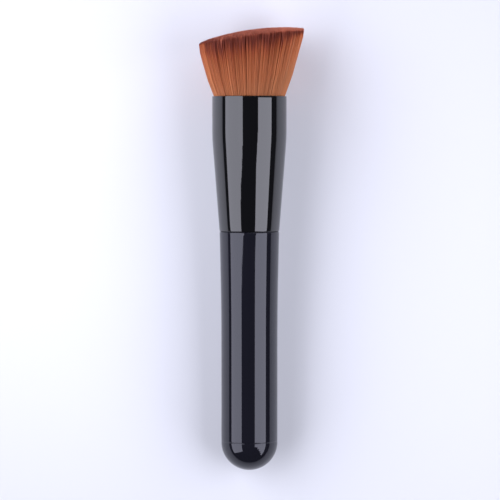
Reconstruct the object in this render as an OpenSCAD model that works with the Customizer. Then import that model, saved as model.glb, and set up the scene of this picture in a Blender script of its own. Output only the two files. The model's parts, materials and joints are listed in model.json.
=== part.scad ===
// Kabuki makeup brush, lying on a table: a turned handle, a flared ferrule and a dense slanted tuft.
// Every piece is drawn upright on the brush's own axis, with the round butt at height zero,
// and laid() then puts it down on the table. Heights inside the ferrule count from its foot.

/* [Handle] */
// Length of the handle that shows, from the round butt to the seam at the ferrule
handle_len = 62; // [56:1:75]
// Diameter of the straight barrel, whose radius is also that of the round butt
barrel_d = 14.6; // [13.6:0.1:15.2]
// Length of the straight barrel above the round butt
barrel_len = 28; // [18:1:36]
// How late the handle swells out to the ferrule: 1 is a plain cone
swell_power = 1.6; // [1.2:0.1:2.4]
// Diameter of the tenon that goes up into the ferrule
tenon_d = 12.4; // [11:0.1:12.8]
// Length of the tenon
tenon_len = 17; // [14:0.5:18]
// Chamfer on the tenon's end
tenon_chamfer = 0.6; // [0.3:0.1:1]
// Number of glue grooves turned in the tenon
groove_count = 3; // [1:1:4]
// Width of one glue groove
groove_w = 1.2; // [0.8:0.1:1.8]
// Depth of one glue groove
groove_depth = 0.3; // [0.2:0.05:0.5]

/* [Ferrule] */
// Length of the ferrule, from the seam to its mouth
ferrule_len = 35; // [33:0.5:42]
// Diameter of the ferrule's foot at the seam
foot_d = 15.5; // [15.3:0.1:16.5]
// Diameter of the straight collar at the ferrule's mouth
mouth_d = 19.3; // [18.9:0.1:21]
// Length of the straight collar
collar_len = 10.7; // [8:0.1:13]
// Radius of the soft bend between the ferrule's cone and its collar
blend_r = 60; // [20:5:80]
// Wall of the ferrule's metal shell
shell_wall = 0.4; // [0.3:0.05:0.6]
// Chamfer on both edges at the seam, which makes the thin dark line there
seam_chamfer = 0.2; // [0.1:0.05:0.3]

/* [Insert] */
// Web between the tenon's socket and the bristle cup
web_t = 1.7; // [1:0.1:2.5]
// How far the insert stops short of the ferrule's mouth
lip_recess = 3; // [2:0.1:4]
// How far the insert's lower end stands above the seam
insert_recess = 0.3; // [0.1:0.1:1]

/* [Tuft] */
// Length of the bristles that shows on the tall side
tuft_len = 18; // [15:0.5:22]
// How far the side of the tuft leans out for each millimetre that it rises
flare = 0.31; // [0.2:0.01:0.36]
// Radius of the domed face of the tuft
dome_r = 69; // [55:1:120]
// How far the top of the dome lies from the axis, towards the tall side
dome_shift = 9.6; // [4:0.1:12]
// How much shorter the outermost bristles are, which rounds the tuft's edge
edge_drop = 0.9; // [0:0.1:1.5]
// Diameter of the bundle at its root
root_d = 15.9; // [15:0.1:16.1]
// Number of rings of strands round the middle strand
strand_rings = 10; // [9:1:11]
// Clear gap between neighbouring strands
strand_gap = 0.15; // [0.1:0.01:0.25]
// Width of a strand's tip as a share of the room that it has there
tip_share = 0.8; // [0.5:0.05:1]

/* [Root] */
// Depth of resin below the tied band
resin_base = 4; // [2.5:0.1:5]
// Width of the band that ties the root
band_w = 2.2; // [1.5:0.1:3]
// Thickness of the band
band_t = 0.25; // [0.15:0.01:0.3]
// Thickness of the slice of resin that the strands stand in
slice_t = 1; // [0.6:0.1:1.4]

/* [Fits] */
// Gap for glue round the tenon
glue_gap = 0.12; // [0.05:0.01:0.2]
// Gap between the insert and the metal shell
press_gap = 0.04; // [0.02:0.01:0.08]
// Running gap of the bristle bundle and the band
bundle_gap = 0.04; // [0.02:0.01:0.08]
// Air left between the end of the tenon and the web
end_gap = 0.3; // [0.1:0.1:0.6]

/* [Hidden] */
$fn = 96;

lacquer_black = [0.05, 0.05, 0.07];
metal_black = [0.06, 0.06, 0.06];
insert_grey = [0.3, 0.3, 0.32];
glue_amber = [0.85, 0.7, 0.4];
resin_amber = [0.75, 0.6, 0.35];
band_white = [0.9, 0.88, 0.82];
bristle_copper = [0.62, 0.34, 0.2];

arc_steps = 18;
swell_steps = 10;
blend_steps = 8;

barrel_r = barrel_d / 2;
foot_r = foot_d / 2;
mouth_r = mouth_d / 2;
tenon_r = tenon_d / 2;
socket_r = tenon_r + glue_gap;
root_r = root_d / 2;
brush_len = handle_len + ferrule_len + tuft_len;
barrel_top = barrel_r + barrel_len;

// The ferrule's cone, and where the soft bend leaves it and meets the collar
cone_len = ferrule_len - collar_len;
cone_angle = atan((mouth_r - foot_r) / cone_len);
blend_reach = blend_r * tan(cone_angle / 2);
blend_low = cone_len - blend_reach * cos(cone_angle);
blend_high = cone_len + blend_reach;

// Heights above the ferrule's foot
socket_top = tenon_len + end_gap;
cup_floor = socket_top + web_t;
band_low = cup_floor + resin_base;
band_high = band_low + band_w;
slice_top = band_high;
slice_low = slice_top - slice_t;
lip = ferrule_len - lip_recess;

bore_r = root_r + bundle_gap + band_t + bundle_gap;
throat_r = mouth_r - shell_wall - bundle_gap;

// The strands stand this far inside the edge of their slice, and the outer rings are cut short
slice_edge = 0.1;
edge_sharpness = 8;
mouth_height = handle_len + ferrule_len;

// Outer radius of the ferrule at a height above its foot
function ferrule_r(h) =
    h <= blend_low ? foot_r + h * tan(cone_angle)
    : h < blend_high ? mouth_r - blend_r + sqrt(blend_r ^ 2 - (blend_high - h) ^ 2)
    : mouth_r;

// Outer radius of the handle at a height above the butt, over the swelling part
function handle_r(h) =
    barrel_r + (foot_r - barrel_r) * ((h - barrel_top) / (handle_len - barrel_top)) ^ swell_power;

// Radius of the bristle bundle inside the ferrule, from its root to the mouth
function bundle_r(h) =
    let (root = root_r - slice_edge)
    root + (throat_r - root) * (h - slice_top) / (ferrule_len - slice_top);

// Heights from low to high at which a profile needs a point, with those of the bend between them
function stations(low, high) = [
    low,
    for (i = [0:blend_steps])
        let (h = blend_low + (blend_high - blend_low) * i / blend_steps)
        if (h > low && h < high) h,
    high,
];

function reversed(list) = [for (i = [len(list) - 1:-1:0]) list[i]];

// The ferrule's outline between two heights, moved in by a distance
function ferrule_line(low, high, inset) =
    [for (h = stations(low, high)) [ferrule_r(h) - inset, handle_len + h]];

// The tenon's side with its glue grooves, from low to high
function tenon_line(low, high) = [
    [tenon_r, handle_len + low],
    for (i = [1:groove_count])
        let (middle = handle_len + tenon_len * i / (groove_count + 1))
        each [
            [tenon_r, middle - groove_w / 2],
            [tenon_r - groove_depth, middle - groove_w / 2],
            [tenon_r - groove_depth, middle + groove_w / 2],
            [tenon_r, middle + groove_w / 2],
        ],
    [tenon_r, handle_len + high],
];

// The strands fill the bundle in rings round a middle one. Each ring has six more than the one inside it,
// so that its cells stay about as wide as they are deep.
ring_step = 6;
function strand_count(ring_no) = ring_step * ring_no;
function cell_angle(ring_no) = 360 / strand_count(ring_no);

// Distance between rings at a height above the butt
function ring_pitch(height) =
    let (
        out = height < mouth_height ? bundle_r(height - handle_len)
            : throat_r + flare * (height - mouth_height)
    )
    (out + strand_gap / 2) / (strand_rings + 0.5);

// Height above the butt at which a strand of a ring, standing at an angle, meets the domed face
function tip_height(ring_no, angle) =
    let (
        start = ring_no * ring_pitch(mouth_height),
        lean = ring_no * flare / (strand_rings + 0.5),
        below = mouth_height - (brush_len - dome_r),
        a = 1 + lean ^ 2,
        b = lean * (start - dome_shift * cos(angle)) + below,
        c = start ^ 2 - 2 * start * dome_shift * cos(angle) + dome_shift ^ 2 + below ^ 2 - dome_r ^ 2
    )
    mouth_height + (-b + sqrt(b ^ 2 - a * c)) / a - edge_drop * (ring_no / strand_rings) ^ edge_sharpness;

// Half the depth of a strand, from the axis outwards, where it fills a share of its room
function half_depth(height, fill) = fill * (ring_pitch(height) - strand_gap) / 2;

// Corners of a strand at one height: the middle one is a square, any other a cell of its ring
function strand_section(ring_no, angle, height, fill) =
    let (half = half_depth(height, fill))
    ring_no == 0 ? [for (turn = [45:90:315]) [half * cos(turn), half * sin(turn), height]]
    : [
        for (corner = [[-1, -1], [1, -1], [1, 1], [-1, 1]])
            let (
                out = ring_no * ring_pitch(height) + corner[0] * half,
                turn = angle + corner[1] * fill * (cell_angle(ring_no) / 2 - asin(strand_gap / 2 / out))
            )
            [out * cos(turn), out * sin(turn), height],
    ];

// Distance from the axis of the outermost tips that stand at an angle
function tuft_reach(angle) =
    let (height = tip_height(strand_rings, angle))
    strand_rings * ring_pitch(height) + half_depth(height, tip_share);

// A closed tube through rings of corners, in triangles
module tube(rings) {
    sides = len(rings[0]);
    last = (len(rings) - 1) * sides;
    walls = [
        for (r = [0:len(rings) - 2], i = [0:sides - 1])
            let (
                a = r * sides + i,
                b = r * sides + (i + 1) % sides
            )
            each [[a, b + sides, b], [a, a + sides, b + sides]],
    ];
    base = [for (i = [1:sides - 2]) [0, i, i + 1]];
    cap = [for (i = [1:sides - 2]) [last, last + i + 1, last + i]];
    polyhedron(points = [for (r = rings) each r], faces = concat(walls, base, cap), convexity = 4);
}

module strand(ring_no, angle) {
    sunk = handle_len + slice_top - slice_t / 2;
    tube([
        strand_section(ring_no, angle, sunk, 1),
        strand_section(ring_no, angle, mouth_height, 1),
        strand_section(ring_no, angle, tip_height(ring_no, angle), tip_share),
    ]);
}

module turned(profile) {
    rotate_extrude()
        polygon(profile);
}

module ring(low, high, inner_r, outer_r) {
    turned([
        [inner_r, handle_len + low],
        [outer_r, handle_len + low],
        [outer_r, handle_len + high],
        [inner_r, handle_len + high],
    ]);
}

// The slope of the lying brush: its butt and the lowest bristle tips both touch the table
rest_r = tuft_reach(90);
rest_reach = tip_height(strand_rings, 90) - barrel_r;
rest_tilt = atan(rest_r / rest_reach) - asin(barrel_r / norm([rest_reach, rest_r]));

// The slant makes the tuft wider on its tall side, at +X, so the axis lies a little off the middle
axis_x = (tuft_reach(180) - tuft_reach(0)) / 2;

// Lays the upright brush along +Y on the table, tuft end raised by the tilt
module laid() {
    translate([axis_x, -brush_len / 2 * cos(rest_tilt), barrel_r * (1 - sin(rest_tilt))])
        rotate([rest_tilt - 90, 0, 0])
            children();
}

module handle() {
    butt = [
        for (i = [0:arc_steps])
            let (turn = 90 * i / arc_steps)
            [barrel_r * sin(turn), barrel_r * (1 - cos(turn))],
    ];
    swell = [
        for (i = [0:swell_steps])
            let (h = barrel_top + (handle_len - seam_chamfer - barrel_top) * i / swell_steps)
            [handle_r(h), h],
    ];
    color(lacquer_black)
        laid()
            turned(concat(
                butt,
                swell,
                [[foot_r - seam_chamfer, handle_len]],
                tenon_line(0, tenon_len - tenon_chamfer),
                [[tenon_r - tenon_chamfer, handle_len + tenon_len], [0, handle_len + tenon_len]]
            ));
}

module tenon_glue() {
    low = insert_recess;
    high = tenon_len - tenon_chamfer;
    color(glue_amber)
        laid()
            turned(concat(
                tenon_line(low, high),
                [[socket_r, handle_len + high], [socket_r, handle_len + low]]
            ));
}

module ferrule_shell() {
    color(metal_black)
        laid()
            turned(concat(
                [[foot_r - seam_chamfer, handle_len]],
                ferrule_line(seam_chamfer, ferrule_len, 0),
                reversed(ferrule_line(0, ferrule_len, shell_wall))
            ));
}

module ferrule_insert() {
    color(insert_grey)
        laid()
            turned(concat(
                [[socket_r, handle_len + insert_recess]],
                ferrule_line(insert_recess, lip, shell_wall + press_gap),
                [
                    [bundle_r(lip) + bundle_gap, handle_len + lip],
                    [bore_r, handle_len + band_high],
                    [bore_r, handle_len + cup_floor],
                    [0, handle_len + cup_floor],
                    [0, handle_len + socket_top],
                    [socket_r, handle_len + socket_top],
                ]
            ));
}

module root_resin() {
    color(resin_amber)
        laid() {
            ring(cup_floor, band_low, 0, bore_r);
            ring(band_low, slice_low, 0, root_r);
        }
}

module root_band() {
    color(band_white)
        laid()
            ring(band_low, band_high, root_r + bundle_gap, root_r + bundle_gap + band_t);
}

module bristles() {
    color(bristle_copper)
        laid() {
            ring(slice_low, slice_top, 0, root_r);
            strand(0, 0);
            for (ring_no = [1:strand_rings], i = [0:strand_count(ring_no) - 1])
                strand(ring_no, cell_angle(ring_no) * (i + ring_no % 2 / 2));
        }
}

handle();
tenon_glue();
ferrule_shell();
ferrule_insert();
root_resin();
root_band();
bristles();
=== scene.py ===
"""A kabuki makeup brush lying on a white floor.

Each piece is made upright on the brush's own axis, with the round butt at height zero, and is then
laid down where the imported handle's barrel lies. Sizes are in millimetres, and MM makes them metres.
"""

import json
import math

import bpy
import numpy as np
from mathutils import Matrix, Vector


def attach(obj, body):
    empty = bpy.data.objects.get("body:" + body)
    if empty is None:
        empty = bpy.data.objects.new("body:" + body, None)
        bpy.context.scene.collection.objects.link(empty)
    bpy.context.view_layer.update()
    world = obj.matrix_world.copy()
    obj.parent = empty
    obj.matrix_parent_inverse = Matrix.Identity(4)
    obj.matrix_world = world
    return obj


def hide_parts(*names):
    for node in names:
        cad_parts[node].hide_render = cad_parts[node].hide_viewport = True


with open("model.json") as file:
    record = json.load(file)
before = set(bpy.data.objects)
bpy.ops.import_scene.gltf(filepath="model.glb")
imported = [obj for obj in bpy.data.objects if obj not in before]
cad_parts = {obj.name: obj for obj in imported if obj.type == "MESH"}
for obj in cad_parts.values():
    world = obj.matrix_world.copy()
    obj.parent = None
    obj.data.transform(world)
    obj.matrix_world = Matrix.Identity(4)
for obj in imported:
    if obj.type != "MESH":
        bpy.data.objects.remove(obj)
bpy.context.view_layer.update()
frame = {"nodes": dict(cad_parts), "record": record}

MM = 0.001

# Lengths along the brush
HANDLE_LEN = 62
FERRULE_LEN = 35
TUFT_LEN = 18
MOUTH = HANDLE_LEN + FERRULE_LEN

# The handle
SWELL_POWER = 1.6
TENON_R = 6.2
TENON_LEN = 17
TENON_CHAMFER = 0.6
BUTT_STEPS = 40
SWELL_STEPS = 36

# The ferrule
FOOT_R = 7.75
MOUTH_R = 9.65
COLLAR_LEN = 10.7
BLEND_R = 60
SHELL_WALL = 0.4
SEAM_CHAMFER = 0.2
CONE_STEPS = 12
BEND_STEPS = 16

# Turning on the lathe, and the edges that are rounded after it
TURN_STEPS = 144
MERGE_REACH = 1e-7
EDGE_ROUND = 0.08
EDGE_SEGMENTS = 3
EDGE_ANGLE = 25
SMOOTH_ANGLE = 35

# The finest lines of the finish: one round the butt and one under the mouth
LINE_HALF = 0.12
BUTT_LINE = 7.55
BUTT_LINE_DEPTH = 0.09
LIP_LINE = 33.6
LIP_LINE_DEPTH = 0.018

# The tuft's form: its throat in the ferrule, its flare, and the slanted dome that it is cut to
THROAT_GAP = 0.04
THROAT_R = MOUTH_R - SHELL_WALL - THROAT_GAP
FLARE = 0.31
DOME_R = 69
DOME_SHIFT = 9.6
EDGE_DROP = 0.2
EDGE_LEAN = 0.1
EDGE_SHARPNESS = 16
LIP_BULGE = 0.42
LIP_REACH = 0.6
TIP_CURL = 0.4
CURL_LEN = 3

# The filaments, and how far they stray from even places, tones, lengths and depths of dye
TUFT_PIECES = ("core", "heart", "belt", "edge")
TUFT_SEED = 11
FILAMENTS = 16200
FILAMENT_R = 0.085
ROOT_DEPTH = 5
SHARE_STRAY = 0.004
ANGLE_STRAY = 0.006
TONE_MIDDLE = 0.36
TONE_STRAY = 0.06
SHORT_STRAY = 0.06
DYE_STRAY = 0.35

# A filament's rings: the share of its height that each is at, how far above that, and its width
RINGS = (
    (0, -ROOT_DEPTH, 1),
    (0, 0, 1),
    (0.3, 0, 1),
    (0.65, 0, 1),
    (1, -2.4, 0.9),
    (1, -0.6, 0.6),
    (1, 0, 0),
)
PALE_TIP_RING = 5

# Filaments draw together in wisps, in wider locks and in bunches wider still. Each row says how many
# there are, how strongly they draw, and how much they differ in tone, length and depth of dye
GROUPS = (
    (2600, 0.35, 0.045, 0.04, 0.5),
    (420, 0.09, 0.04, 0.03, 0.35),
    (90, 0.01, 0.06, 0.02, 0.3),
)
GROUP_STRAY = 0.25
WEAKEST_PULL = 0.3
PULL_POWER = 1.6
SWAY = 0.05
SWAY_TURN = 0.5
BATCH = 2000

# Zones across the tuft where light and shade are painted, as shares of its half width: where each starts,
# and over how much it grows
FLANK_ZONE = (0.6, 0.4)
RIGHT_ZONE = (0.3, 0.35)
END_ZONE = (0.7, 0.3)
FLANK_PAINTED_SHADE = 0.08
RIGHT_PAINTED_LIGHT = 0.25
END_PAINTED_SHADE = 0.06
FLANK_PAINTED_LIGHT = 3
END_PAINTED_LIGHT = 1.5

# Painted light on the tips: the depth of the pale-tip ring is multiplied by a power of e that falls
# towards the right, lengthening the pale ends there: the exponent in the middle, and the least and the
# most that it comes to
PAINTED_TIP_LIGHT_MIDDLE = 0.1
PAINTED_TIP_LIGHT_LEAST = 0.15
PAINTED_TIP_LIGHT_MOST = 3

# The filaments' map: its columns of tone, the depth that it reaches, and where the dye begins to stray
TONES = 64
COLUMN_EDGE = 0.15
REACH_OF_MAP = 25
DYE_START = (0.3, 1.2)


# Placing

def posed(place, x_axis, y_axis, z_axis):
    """The matrix of something at a place, with its axes along three directions."""
    return Matrix.Translation(place) @ Matrix((x_axis, y_axis, z_axis)).transposed().to_4x4()


# The barrel's mount says where the brush lies: its axis, and the straight barrel's size
barrel = frame["record"]["mounts"][0]
BARREL_R = barrel["dims"]["r_mm"]
BARREL_LEN = barrel["dims"]["length_mm"]
toward_butt = Vector(barrel["axis"]).normalized()
butt_end = Vector(barrel["pos_m"]) + toward_butt * (BARREL_LEN / 2 + BARREL_R) * MM
UP = -toward_butt
LAID = posed(butt_end, (1, 0, 0), (0, UP.z, -UP.y), (0, UP.y, UP.z))


def on_axis(height):
    """The point of the laid brush's axis at a height above the butt."""
    return LAID @ Vector((0, 0, height * MM))


# Modelling

def clear_selection():
    bpy.ops.object.select_all(action="DESELECT")


def select_only(piece):
    clear_selection()
    piece.select_set(True)
    bpy.context.view_layer.objects.active = piece


def lay_down(piece):
    """Lays an upright piece on the floor and leaves its place in its mesh."""
    select_only(piece)
    piece.matrix_world = LAID
    bpy.ops.object.transform_apply(location=True, rotation=True, scale=True)


def round_edges(piece):
    """Rounds every sharp edge by a hair."""
    bevel = piece.modifiers.new("rounded_edges", "BEVEL")
    bevel.width = EDGE_ROUND * MM
    bevel.segments = EDGE_SEGMENTS
    bevel.limit_method = "ANGLE"
    bevel.angle_limit = math.radians(EDGE_ANGLE)
    bpy.ops.object.modifier_apply(modifier=bevel.name)


def turned(name, profile, closed=False):
    """A piece turned on the lathe: the profile is drawn point by point, then spun round the axis."""
    clear_selection()
    points = [Vector((radius * MM, 0, height * MM)) for radius, height in profile]
    bpy.ops.mesh.primitive_plane_add(size=MM, location=(0, 0, 0))
    piece = bpy.context.object
    piece.name = name
    piece.data.name = name
    bpy.ops.object.mode_set(mode="EDIT")
    bpy.ops.mesh.merge(type="CENTER")
    bpy.ops.transform.translate(value=points[0])
    for before, after in zip(points, points[1:]):
        bpy.ops.mesh.extrude_vertices_move(TRANSFORM_OT_translate={"value": after - before})
    bpy.ops.mesh.select_all(action="SELECT")
    if closed:
        bpy.ops.mesh.remove_doubles(threshold=MERGE_REACH)
    bpy.ops.mesh.spin(steps=TURN_STEPS, angle=math.tau, center=(0, 0, 0), axis=(0, 0, 1))
    bpy.ops.mesh.select_all(action="SELECT")
    bpy.ops.mesh.remove_doubles(threshold=MERGE_REACH)
    bpy.ops.mesh.normals_make_consistent(inside=False)
    bpy.ops.object.mode_set(mode="OBJECT")
    return piece


def smooth(piece):
    select_only(piece)
    bpy.ops.object.shade_smooth_by_angle(angle=math.radians(SMOOTH_ANGLE))


def spread(low, high, count):
    """Evenly spread numbers from low to high, both included."""
    return [low + (high - low) * i / count for i in range(count + 1)]


def with_line(profile, height, depth):
    """The same profile with a hair-fine groove at a height, between rings that keep its shading narrow."""
    below = [point for point in profile if point[1] < height - 3 * LINE_HALF]
    above = [point for point in profile[len(below):] if point[1] > height + 3 * LINE_HALF]
    slope = (above[0][0] - below[-1][0]) / (above[0][1] - below[-1][1])
    groove = [
        (below[-1][0] + slope * (height + offset - below[-1][1]) - cut, height + offset)
        for offset, cut in (
            (-2 * LINE_HALF, 0),
            (-LINE_HALF, 0),
            (0, depth),
            (LINE_HALF, 0),
            (2 * LINE_HALF, 0),
        )
    ]
    return below + groove + above


def make_handle():
    """The turned handle: round butt, straight barrel, slow swell, and the tenon inside the ferrule."""
    barrel_top = BARREL_R + BARREL_LEN
    swell_len = HANDLE_LEN - barrel_top
    butt = [
        (BARREL_R * math.sin(turn), BARREL_R * (1 - math.cos(turn)))
        for turn in spread(0, math.pi / 2, BUTT_STEPS)
    ]
    swell = [
        (BARREL_R + (FOOT_R - BARREL_R) * share ** SWELL_POWER, barrel_top + share * swell_len)
        for share in spread(0, 1 - SEAM_CHAMFER / swell_len, SWELL_STEPS)
    ]
    tenon = [
        (FOOT_R - SEAM_CHAMFER, HANDLE_LEN),
        (TENON_R, HANDLE_LEN),
        (TENON_R, HANDLE_LEN + TENON_LEN - TENON_CHAMFER),
        (TENON_R - TENON_CHAMFER, HANDLE_LEN + TENON_LEN),
        (0, HANDLE_LEN + TENON_LEN),
    ]
    handle = turned("turned_handle", with_line(butt + swell, BUTT_LINE, BUTT_LINE_DEPTH) + tenon)
    round_edges(handle)
    smooth(handle)
    lay_down(handle)
    return handle


def ferrule_outline(inset, low, high):
    """The ferrule's side from one height above its foot to another: cone, soft bend and collar."""
    cone_len = FERRULE_LEN - COLLAR_LEN
    slope = math.atan((MOUTH_R - FOOT_R) / cone_len)
    reach = BLEND_R * math.tan(slope / 2)
    bend_low = cone_len - reach * math.cos(slope)
    bend_high = cone_len + reach
    points = []
    for height in spread(low, bend_low, CONE_STEPS):
        points.append((FOOT_R + height * math.tan(slope) - inset, HANDLE_LEN + height))
    for height in spread(bend_low, bend_high, BEND_STEPS)[1:]:
        rise = math.sqrt(BLEND_R ** 2 - (bend_high - height) ** 2)
        points.append((MOUTH_R - BLEND_R + rise - inset, HANDLE_LEN + height))
    points.append((MOUTH_R - inset, HANDLE_LEN + high))
    return points


def make_ferrule():
    """The drawn metal shell, with a fine chamfer at its foot and rounded edges at its mouth."""
    outside = [(FOOT_R - SEAM_CHAMFER, HANDLE_LEN)] + ferrule_outline(0, SEAM_CHAMFER, FERRULE_LEN)
    outside = with_line(outside, HANDLE_LEN + LIP_LINE, LIP_LINE_DEPTH)
    inside = ferrule_outline(SHELL_WALL, 0, FERRULE_LEN)[::-1]
    ferrule = turned("flared_ferrule", outside + inside + outside[:1], closed=True)
    round_edges(ferrule)
    smooth(ferrule)
    lay_down(ferrule)
    return ferrule


# The tuft

def sunflower(count):
    """Evenly spread places over a unit disc: distance from the middle, and angle."""
    golden = math.pi * (3 - math.sqrt(5))
    step = np.arange(count)
    return np.sqrt((step + 0.5) / count), step * golden


def nearest(x, y, seeds_x, seeds_y):
    """For each place, the number of the seed nearest to it."""
    found = np.empty(len(x), dtype=int)
    for start in range(0, len(x), BATCH):
        part = slice(start, start + BATCH)
        gaps = (x[part, None] - seeds_x) ** 2 + (y[part, None] - seeds_y) ** 2
        found[part] = gaps.argmin(axis=1)
    return found


def ramp(value, start, over):
    """Grows from 0 where a value passes the start to 1 a stretch further."""
    return np.clip((value - start) / over, 0, 1)


def tip_rise(share, angle):
    """How far above the mouth a leaning filament meets the domed face: the root of a quadratic."""
    start = share * THROAT_R
    lean = share * FLARE
    below = DOME_R - TUFT_LEN
    a = 1 + lean ** 2
    b = lean * (start - DOME_SHIFT * np.cos(angle)) + below
    c = start ** 2 - 2 * start * DOME_SHIFT * np.cos(angle) + DOME_SHIFT ** 2 + below ** 2 - DOME_R ** 2
    drop = EDGE_DROP - EDGE_LEAN * np.cos(angle)
    return (-b + np.sqrt(b ** 2 - a * c)) / a - drop * share ** EDGE_SHARPNESS


def make_filament(stations):
    """One straight filament with three sides: a small triangle drawn out ring by ring to a point."""
    clear_selection()
    bpy.ops.mesh.primitive_circle_add(vertices=3, radius=1, fill_type="NGON", location=(0, 0, 0))
    filament = bpy.context.object
    filament.name = "one_filament"
    bpy.ops.object.mode_set(mode="EDIT")
    for _ in range(stations - 1):
        bpy.ops.mesh.extrude_region_move(TRANSFORM_OT_translate={"value": (0, 0, 1)})
    bpy.ops.mesh.merge(type="CENTER")
    bpy.ops.mesh.select_all(action="SELECT")
    bpy.ops.mesh.normals_make_consistent(inside=False)
    bpy.ops.mesh.quads_convert_to_tris()
    bpy.ops.object.mode_set(mode="OBJECT")
    mesh = filament.data
    corners = np.array([v.co[:] for v in mesh.vertices])
    faces = np.array([p.vertices[:] for p in mesh.polygons])
    bpy.data.objects.remove(filament)
    bpy.data.meshes.remove(mesh)
    return corners, faces


def draw_together(rng, x, y):
    """Each filament's sideways pull, tone, shortness and depth of dye, with those of its groups."""
    pull = np.zeros((2, FILAMENTS))
    tone = rng.normal(TONE_MIDDLE, TONE_STRAY, FILAMENTS)
    short = np.abs(rng.normal(0, SHORT_STRAY, FILAMENTS))
    dye = rng.normal(0, DYE_STRAY, FILAMENTS)
    for count, strength, shade, length, spill in GROUPS:
        stray = GROUP_STRAY / math.sqrt(count)
        seed_share, seed_angle = sunflower(count)
        seed_x = seed_share * np.cos(seed_angle) + rng.normal(0, stray, count)
        seed_y = seed_share * np.sin(seed_angle) + rng.normal(0, stray, count)
        mine = nearest(x, y, seed_x, seed_y)
        force = rng.uniform(WEAKEST_PULL, 1, count)[mine] * strength
        pull[0] += (seed_x[mine] - x) * force
        pull[1] += (seed_y[mine] - y) * force
        tone += rng.normal(0, shade, count)[mine]
        short += np.abs(rng.normal(0, length, count))[mine]
        dye += rng.normal(0, spill, count)[mine]
    return pull, tone, short, dye


def bend_filaments(rng, spots, pull, rise, levels, widths, around):
    """Every corner of every filament: they flare out, swell over the lip, curl in and draw together."""
    spin = rng.uniform(0, math.tau, FILAMENTS)
    above = np.maximum(levels, 0)
    bulge = LIP_BULGE * (1 - np.exp(-above / LIP_REACH)) * (1 - above / TUFT_LEN)
    curl = TIP_CURL * np.clip(1 - (rise - levels) / CURL_LEN, 0, 1) ** 2
    out = THROAT_R + FLARE * above + bulge - curl - FILAMENT_R
    tug = out * (above / TUFT_LEN) ** PULL_POWER
    sway = SWAY * above / TUFT_LEN
    phases = rng.uniform(0, math.tau, (2, FILAMENTS))
    sides = []
    for spot, drawn, phase, part in zip(spots, pull, phases, (np.cos, np.sin)):
        side = spot * out + drawn * tug + sway * np.sin(above * SWAY_TURN + phase)
        side += widths[:, None] * part(around[:, None] + spin)
        sides.append(side)
    return np.stack([*sides, MOUTH + levels], axis=2)


def across_column(around, faces):
    """How far each corner of a face lies across its filament's column of the map."""
    side_start = around[faces]
    across = (side_start - side_start.min(axis=1, keepdims=True)) / math.tau % 1
    return np.where(across > 0.5, 1, across * 1.5)


def filament_mesh(name, places, faces, column, across, depth):
    """The mesh of one piece of the tuft, with its map: a tone is a column, and the tip is at the top."""
    corners, count = places.shape[:2]
    points = places.transpose(1, 0, 2).reshape(-1, 3) * MM
    triangles = (faces[None] + (np.arange(count) * corners)[:, None, None]).reshape(-1, 3)
    mesh = bpy.data.meshes.new(name)
    mesh.from_pydata(points.tolist(), [], triangles.tolist())
    u = (column[:, None, None] + COLUMN_EDGE + (1 - 2 * COLUMN_EDGE) * across[None]) / TONES
    v = 1 - depth[faces].transpose(2, 0, 1)
    layer = mesh.uv_layers.new(name="OFBake")
    layer.data.foreach_set("uv", np.stack([u, v], axis=3).reshape(-1))
    mesh.shade_smooth()
    return mesh


def make_tuft():
    """The whole tuft, filament by filament, in pieces from the middle of the bundle to its edge."""
    rng = np.random.default_rng(TUFT_SEED)
    share, angle = sunflower(FILAMENTS)
    share = np.clip(share + rng.normal(0, SHARE_STRAY, FILAMENTS), 0, 1)
    angle = angle + rng.normal(0, ANGLE_STRAY, FILAMENTS)
    x = share * np.cos(angle)
    y = share * np.sin(angle)
    pull, tone, short, dye = draw_together(rng, x, y)
    rise = tip_rise(share, angle) - short

    corners, faces = make_filament(len(RINGS))
    ring = np.rint(corners[:, 2]).astype(int)
    around = np.arctan2(corners[:, 1], corners[:, 0])
    levels = np.stack([part * rise + offset for part, offset, _ in RINGS])[ring]
    widths = np.array([width for _, _, width in RINGS])[ring] * FILAMENT_R
    places = bend_filaments(rng, (x, y), pull, rise, levels, widths, around)

    # Painted light and shade across the tuft: the dark band fades out towards both sides of the tuft and
    # its right end, its right side is painted paler, and its flanks and right end a little darker
    flank_light_and_shade = ramp(np.abs(x), *FLANK_ZONE)
    right = ramp(x, *RIGHT_ZONE)
    end_light_and_shade = ramp(x, *END_ZONE)
    tone = np.clip(tone - FLANK_PAINTED_SHADE * flank_light_and_shade + RIGHT_PAINTED_LIGHT * right - END_PAINTED_SHADE * end_light_and_shade, 0, 1)
    column = np.minimum((tone * TONES).astype(int), TONES - 1)
    # Painted light: the dark dye band is pushed deeper at the flanks and the right end, so that it fades
    # there
    dye += FLANK_PAINTED_LIGHT * flank_light_and_shade ** 2 + END_PAINTED_LIGHT * end_light_and_shade

    # Painted light on the tips: the pale ends are longer towards the right
    depth = rise - levels
    depth[ring == PALE_TIP_RING] *= np.clip(np.exp(PAINTED_TIP_LIGHT_MIDDLE - x - end_light_and_shade), PAINTED_TIP_LIGHT_LEAST, PAINTED_TIP_LIGHT_MOST)
    depth = np.maximum(depth + dye * ramp(depth, *DYE_START), 0) / REACH_OF_MAP

    tuft = []
    across = across_column(around, faces)
    cuts = np.linspace(0, FILAMENTS, len(TUFT_PIECES) + 1).astype(int)
    for word, first, last in zip(TUFT_PIECES, cuts, cuts[1:]):
        name = "tuft_" + word
        mine = slice(first, last)
        mesh = filament_mesh(name, places[:, mine], faces, column[mine], across, depth[:, mine])
        piece = bpy.data.objects.new(name, mesh)
        bpy.context.collection.objects.link(piece)
        lay_down(piece)
        tuft.append(piece)
    return tuft


# Finishes

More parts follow.
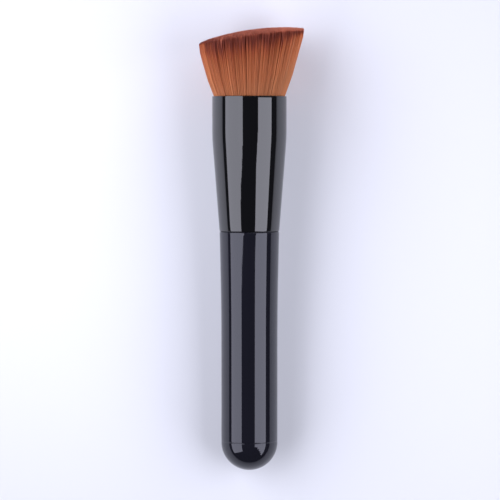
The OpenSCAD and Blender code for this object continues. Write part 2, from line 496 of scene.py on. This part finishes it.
class Wire:
    """A shader socket that can stand in sums and products."""

    def __init__(self, finish, socket):
        self.finish = finish
        self.socket = socket

    def output(self, number):
        """Another output of the same node."""
        return Wire(self.finish, self.socket.node.outputs[number])

    def maths(self, operation, *values):
        return self.finish.add("ShaderNodeMath", {"operation": operation}, *values)

    def __add__(self, other):
        return self.maths("ADD", self, other)

    def __sub__(self, other):
        return self.maths("SUBTRACT", self, other)

    def __rsub__(self, other):
        return self.maths("SUBTRACT", other, self)

    def __mul__(self, other):
        return self.maths("MULTIPLY", self, other)

    __radd__ = __add__
    __rmul__ = __mul__


class Finish:
    """A material of the brush, on Blender's principled shader."""

    def __init__(self, name, **constants):
        self.material = bpy.data.materials.new(name)
        self.material.use_nodes = True
        self.tree = self.material.node_tree
        self.shader = self.tree.nodes["Principled BSDF"]
        self.paint(**constants)

    def feed(self, sockets, key, value):
        """Gives a socket, found by its number or its name, a link or a plain value."""
        socket = sockets[key.replace("_", " ") if isinstance(key, str) else key]
        if isinstance(value, Wire):
            self.tree.links.new(value.socket, socket)
        else:
            socket.default_value = value

    def paint(self, **values):
        """Sets what the shader shows: links or plain values for its named sockets."""
        for name, value in values.items():
            self.feed(self.shader.inputs, name, value)

    def add(self, kind, settings, *values, at=None, output=0, **named):
        """Adds a node: its settings first, then its sockets in order, by number or by name."""
        node = self.tree.nodes.new(kind)
        for key, value in settings.items():
            if key == "stops":
                elements = node.color_ramp.elements
                for _ in value[2:]:
                    elements.new(0.5)
                for element, (place, colour) in zip(elements, value):
                    element.position = place
                    element.color = colour
            else:
                setattr(node, key, value)
        for number, value in zip(at or range(len(values)), values):
            self.feed(node.inputs, number, value)
        for name, value in named.items():
            self.feed(node.inputs, name, value)
        return Wire(self, node.outputs[output])

    def noise(self, scale, detail, stretch=(1, 1, 1)):
        """Noise over the piece, in object coordinates along the laid brush."""
        place = self.add("ShaderNodeTexCoord", {}, output="Object")
        turned_to = self.add("ShaderNodeMapping", {}, place, Scale=stretch)
        return self.add("ShaderNodeTexNoise", {}, turned_to, Scale=scale, Detail=detail)

    def between(self, value, low, high, to_low, to_high):
        """Maps a range of a value onto another, clamped."""
        return self.add("ShaderNodeMapRange", {"clamp": True}, value, low, high, to_low, to_high)

    def mix(self, factor, a, b):
        """Mixes two colours, which are sockets 6 and 7 of a Mix node."""
        return self.add("ShaderNodeMix", {"data_type": "RGBA"}, factor, a, b, at=(0, 6, 7), output=2)

    def bump(self, height, strength, distance):
        """Raises the surface by a height map."""
        normal = self.add("ShaderNodeBump", {}, strength, Distance=distance * MM, Height=height)
        self.paint(Normal=normal)


def dress(piece, finish):
    piece.data.materials.clear()
    piece.data.materials.append(finish.material)


def black_gloss(name, deep, worn, smears, waves, **constants):
    """A black gloss coat: fine smears in its colour and polish, and slow waves along the brush."""
    finish = Finish(name, **constants)
    scale, stretch = smears
    haze = finish.noise(scale, 4, (1, stretch, 1))
    finish.paint(Base_Color=finish.mix(haze, deep, worn))
    finish.paint(Roughness=finish.between(haze, 0.35, 0.75, 0.03, 0.08))
    scale, stretch, strength, height = waves
    finish.bump(finish.noise(scale, 1, (1, stretch, 1)), strength, height)
    return finish


def black_lacquer():
    """Deep gloss lacquer on wood: faintly blue, with the waves and smears of a hand finish."""
    return black_gloss(
        "black_lacquer",
        deep=(0.0058, 0.0058, 0.0095, 1),
        worn=(0.0078, 0.0078, 0.0125, 1),
        smears=(60, 0.25),
        waves=(90, 0.15, 0.25, 0.03),
        IOR=1.52,
        Specular_Tint=(0.92, 0.93, 1, 1),
    )


def black_enamel():
    """Gloss enamel on the metal ferrule: a deeper black than the lacquer, and a brighter gloss."""
    return black_gloss(
        "black_enamel",
        deep=(0.0012, 0.0012, 0.0018, 1),
        worn=(0.0028, 0.0028, 0.0036, 1),
        smears=(80, 0.2),
        waves=(120, 0.1, 0.2, 0.02),
        IOR=1.66,
    )


# The filament's colour at a depth below its tip: a pale end, the dark dye, and the copper that it fades
# to, with painted shade at the root by the ferrule's mouth, where the last stop is a little darker and
# greyer
DYE = (
    (0.0, (0.53, 0.136, 0.070)),
    (0.2, (0.44, 0.097, 0.049)),
    (0.5, (0.235, 0.038, 0.018)),
    (1.5, (0.20, 0.029, 0.0125)),
    (2.8, (0.31, 0.054, 0.017)),
    (4.1, (0.43, 0.088, 0.027)),
    (5.6, (0.48, 0.116, 0.036)),
    (7.7, (0.51, 0.138, 0.047)),
    (10.5, (0.53, 0.150, 0.052)),
    # Painted shade: the last stop, by the root, is a little darker and greyer
    (14.5, (0.50, 0.162, 0.060)),
)
ROOT_TONE = 0.34
# The shades that a tone runs between: the palest is yellower, for the painted light that raises the tones
# of the tuft's right side
DARKEST_SHADE = (0.72, 0.62, 0.56, 1)
PALEST_TONE_AND_PAINTED_LIGHT = (1.62, 2.05, 2.2, 1)


def copper_filament():
    """Dyed filament: its map's column sets how pale it is, by its own tone and by the painted light and
    shade across the tuft, and the depth below its tip sets the dye.
    """
    finish = Finish("copper_filament", Roughness=0.5, Specular_IOR_Level=0.3)
    place = finish.add("ShaderNodeUVMap", {"uv_map": "OFBake"})
    tone = finish.add("ShaderNodeSeparateXYZ", {}, place)
    from_tip = 1 - tone.output(1)
    stops = [(depth / REACH_OF_MAP, colour + (1,)) for depth, colour in DYE]
    dyed = finish.add("ShaderNodeValToRGB", {"stops": stops}, from_tip)

    # Towards the root the filaments are more of one tone
    even = finish.between(from_tip, 0.25, 0.65, 0.0, 0.65)
    shade = finish.mix(tone + even * (ROOT_TONE - tone), DARKEST_SHADE, PALEST_TONE_AND_PAINTED_LIGHT)
    finish.paint(Base_Color=finish.add("ShaderNodeVectorMath", {"operation": "MULTIPLY"}, dyed, shade))
    return finish


def hidden_finish(name, dark, pale, scale, roughness):
    """A finish for a piece inside the ferrule: two colours clouded together, and a matching grain."""
    finish = Finish(name)
    cloud = finish.noise(scale, 4)
    finish.paint(Base_Color=finish.mix(cloud, dark, pale))
    finish.paint(Roughness=finish.between(cloud, 0.3, 0.7, roughness - 0.1, roughness + 0.1))
    finish.bump(cloud, 0.2, 0.05)
    return finish


# The inner pieces: a dark and a pale colour, the fineness of their clouds, and how matt they are
HIDDEN_FINISHES = {
    "tenon_glue": ((0.60, 0.42, 0.18, 1), (0.76, 0.60, 0.33, 1), 300, 0.35),
    "ferrule_insert": ((0.05, 0.05, 0.06, 1), (0.09, 0.09, 0.10, 1), 500, 0.5),
    "root_resin": ((0.45, 0.27, 0.09, 1), (0.62, 0.42, 0.18, 1), 250, 0.3),
    "root_band": ((0.68, 0.64, 0.54, 1), (0.84, 0.81, 0.73, 1), 900, 0.8),
}


# The floor, the light and the camera, in metres and degrees

# The floor's colour, a painted pool of light: by how far a place is from its whitest spot, as a share of
# the fade
FLOOR_SIZE = 8
PAINTED_LIGHT_MIDDLE = (-0.045, 0.03, 0)
PAINTED_LIGHT_FADE = 0.6
FLOOR_PAINTED_LIGHT = (
    (0.0, (0.90, 0.91, 0.935, 1)),
    (0.064, (0.86, 0.87, 0.895, 1)),
    (0.112, (0.81, 0.82, 0.845, 1)),
    (0.192, (0.73, 0.74, 0.76, 1)),
    (0.32, (0.62, 0.625, 0.64, 1)),
    (1.0, (0.50, 0.505, 0.52, 1)),
)

# A softbox by itself has a name, the side it stands towards, its lowest and highest elevation, its near
# and far end, its distance from the gloss that it lights, and its strength
TO_LEFT = (-1, 0, 0)
TO_RIGHT = (1, 0, 0)
TO_FAR_END = (0.5, 0.866, 0)
GLOSS_HEIGHT = 0.015
LAMP_COLOUR = (0.86, 0.865, 1)
LEFT_SOFTBOX = ("left_softbox", TO_LEFT, 10.8, 57.6, -0.44, 0.8, 0.5, 10.6)
FAR_SOFTBOX = ("far_softbox", TO_FAR_END, 8, 30, -0.3, 0.3, 0.45, 9.0)

# Softboxes one above the other, each with ends of its own, shape the ends of the gloss strips. A column
# has a name, its side, its lowest elevation, the height of each box, its distance and its strength
COLUMNS = (
    (("left_panel", TO_LEFT, 57.6, 1.95, 0.25, 10.6), [
        (near, 0.1) for near in (-0.043, -0.0378, -0.0362, -0.034, -0.0305, -0.024)
    ]),
    (("right_softbox", TO_RIGHT, 18.3, 9, 0.3, 11.5), [
        (near, 0.08) for near in (-0.36, -0.3, -0.25, -0.2, -0.16)
    ]),
    (("right_panel", TO_RIGHT, 63.3, 1.025, 0.3, 11.5), [
        (-0.15, far) for far in (0.004, -0.025, -0.04, -0.043)
    ]),
)
STUDIO_COLOUR = (0.85, 0.87, 1, 1)
STUDIO_STRENGTH = 0.075

# The camera in millimetres: its height off the brush, the heights along the axis that it stands over
# and looks at, how far aside it looks, and its lens
CAMERA_HEIGHT = 800
CAMERA_OVER = 85.9
CAMERA_AIM = 57.2
CAMERA_ASIDE = 0.16
CAMERA_LENS = 222.3


def make_floor():
    """A wide white floor with a painted pool of light: whitest to the left of the brush and a little
    greyer away from there.
    """
    clear_selection()
    bpy.ops.mesh.primitive_plane_add(size=FLOOR_SIZE, location=(0, 0, 0))
    floor = bpy.context.object
    floor.name = "white_floor"
    finish = Finish("white_floor", Roughness=0.6)
    place = finish.add("ShaderNodeTexCoord", {}, output="Object")
    away = finish.add("ShaderNodeVectorMath", {"operation": "DISTANCE"}, place, PAINTED_LIGHT_MIDDLE, output="Value")
    reach = finish.between(away, 0.0, PAINTED_LIGHT_FADE, 0.0, 1.0)
    finish.paint(Base_Color=finish.add("ShaderNodeValToRGB", {"stops": FLOOR_PAINTED_LIGHT}, reach))
    dress(floor, finish)


def softbox(name, toward, low, high, near, far, distance, energy):
    """A long softbox that stands towards a side, between two elevations, and runs square to that side."""
    middle = math.radians((low + high) / 2)
    width = 2 * distance * math.tan(math.radians((high - low) / 2))
    clear_selection()
    bpy.ops.object.light_add(type="AREA")
    lamp = bpy.context.object
    lamp.name = name
    lamp.data.shape = "RECTANGLE"
    lamp.data.size = far - near
    lamp.data.size_y = width
    lamp.data.energy = energy * width * (far - near)
    lamp.data.color = LAMP_COLOUR
    lamp.visible_camera = False
    out = Vector(toward) * math.cos(middle) + Vector((0, 0, math.sin(middle)))
    along = Vector((toward[1], -toward[0], 0))
    if along.y < 0:
        along.negate()
    place = out * distance + along * (near + far) / 2 + Vector((0, 0, GLOSS_HEIGHT))
    lamp.matrix_world = posed(place, along, out.cross(along), out)


def make_light():
    """The softboxes round the brush, and a dim studio behind them."""
    softbox(*LEFT_SOFTBOX)
    for (name, toward, lowest, height, distance, energy), ends in COLUMNS:
        for number, (near, far) in enumerate(ends):
            low = lowest + height * number
            softbox(f"{name}_{number + 1}", toward, low, low + height, near, far, distance, energy)
    softbox(*FAR_SOFTBOX)
    world = bpy.data.worlds.new("dim_studio")
    bpy.context.scene.world = world
    world.use_nodes = True
    studio = world.node_tree.nodes["Background"]
    studio.inputs["Color"].default_value = STUDIO_COLOUR
    studio.inputs["Strength"].default_value = STUDIO_STRENGTH


def make_camera():
    """High over the ferrule, square to the brush, looking back a little to the brush's middle."""
    square_to_brush = Vector((0, -UP.z, UP.y))
    eye = on_axis(CAMERA_OVER) + square_to_brush * CAMERA_HEIGHT * MM
    aim = on_axis(CAMERA_AIM) + Vector((CAMERA_ASIDE * MM, 0, 0))
    clear_selection()
    bpy.ops.object.camera_add(location=eye)
    camera = bpy.context.object
    look = (aim - eye).normalized()
    right = look.cross(UP).normalized()
    camera.matrix_world = posed(eye, right, right.cross(look), -look)
    camera.data.lens = CAMERA_LENS
    bpy.context.scene.camera = camera


make_camera()
make_light()
make_floor()

handle = make_handle()
dress(handle, black_lacquer())
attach(handle, "root")
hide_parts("handle")

ferrule = make_ferrule()
dress(ferrule, black_enamel())
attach(ferrule, "root")
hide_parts("ferrule_shell")

filament_finish = copper_filament()
for piece in make_tuft():
    dress(piece, filament_finish)
    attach(piece, "root")
    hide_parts("bristles")

for node, (dark, pale, scale, roughness) in HIDDEN_FINISHES.items():
    dress(frame["nodes"][node], hidden_finish(node, dark, pale, scale, roughness))

bpy.context.scene.view_settings.view_transform = "Standard"
